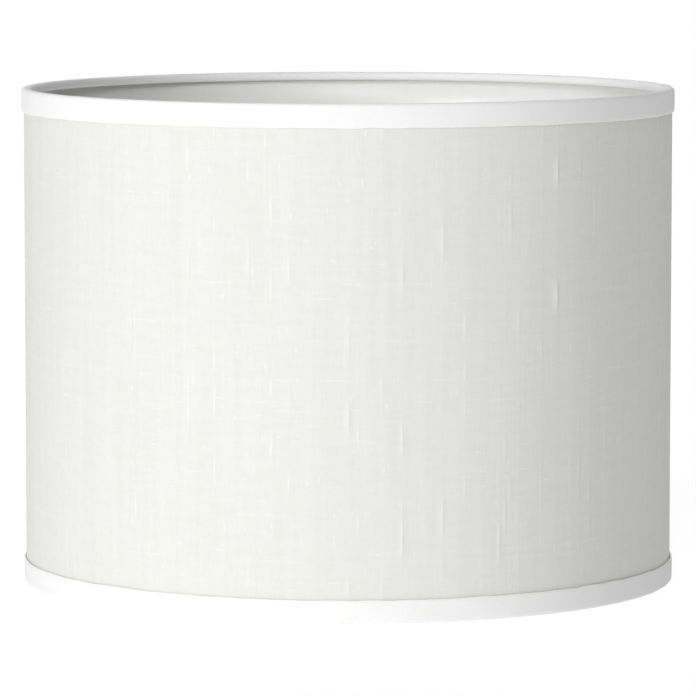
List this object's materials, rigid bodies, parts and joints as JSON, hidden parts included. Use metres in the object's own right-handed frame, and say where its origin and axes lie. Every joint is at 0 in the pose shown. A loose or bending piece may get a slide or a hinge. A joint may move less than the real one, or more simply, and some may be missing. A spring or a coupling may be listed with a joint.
{
  "type": "drum lamp shade",
  "caption": "Round drum lamp shade of woven fabric on a stiff liner, with taped rims over wire rings and a recessed ring fitter on wire arms.",
  "frame": {"origin": "centre of the circle that the bottom rim rests on", "axes": "+Z along the drum's axis from the bottom rim to the top rim; -Y towards the front of the shade; the lap seam is at the right-hand side, 6 degrees round from +X towards +Y"},
  "size_m": [0.3556, 0.3556, 0.269],
  "materials": {
    "linen_weave": "off-white plain weave with slubs, matt",
    "cotton_tape": "white pressed tape, matt with a slight sheen",
    "white_styrene": "smooth satin sheet",
    "coated_wire": "white powder coat on drawn wire",
    "coated_steel": "white powder coat on pressed steel",
    "clear_adhesive": "thin double-sided adhesive strip"
  },
  "bodies": {
    "root": {"liner": "white_styrene", "fabric_cover": "linen_weave", "seam_strip": "clear_adhesive", "bottom_ring": "coated_wire", "top_ring": "coated_wire", "fitter_ring": "coated_steel", "fitter_arm_1": "coated_wire", "fitter_arm_2": "coated_wire", "fitter_arm_3": "coated_wire", "top_trim": "cotton_tape", "bottom_trim": "cotton_tape"}
  },
  "joints": []
}
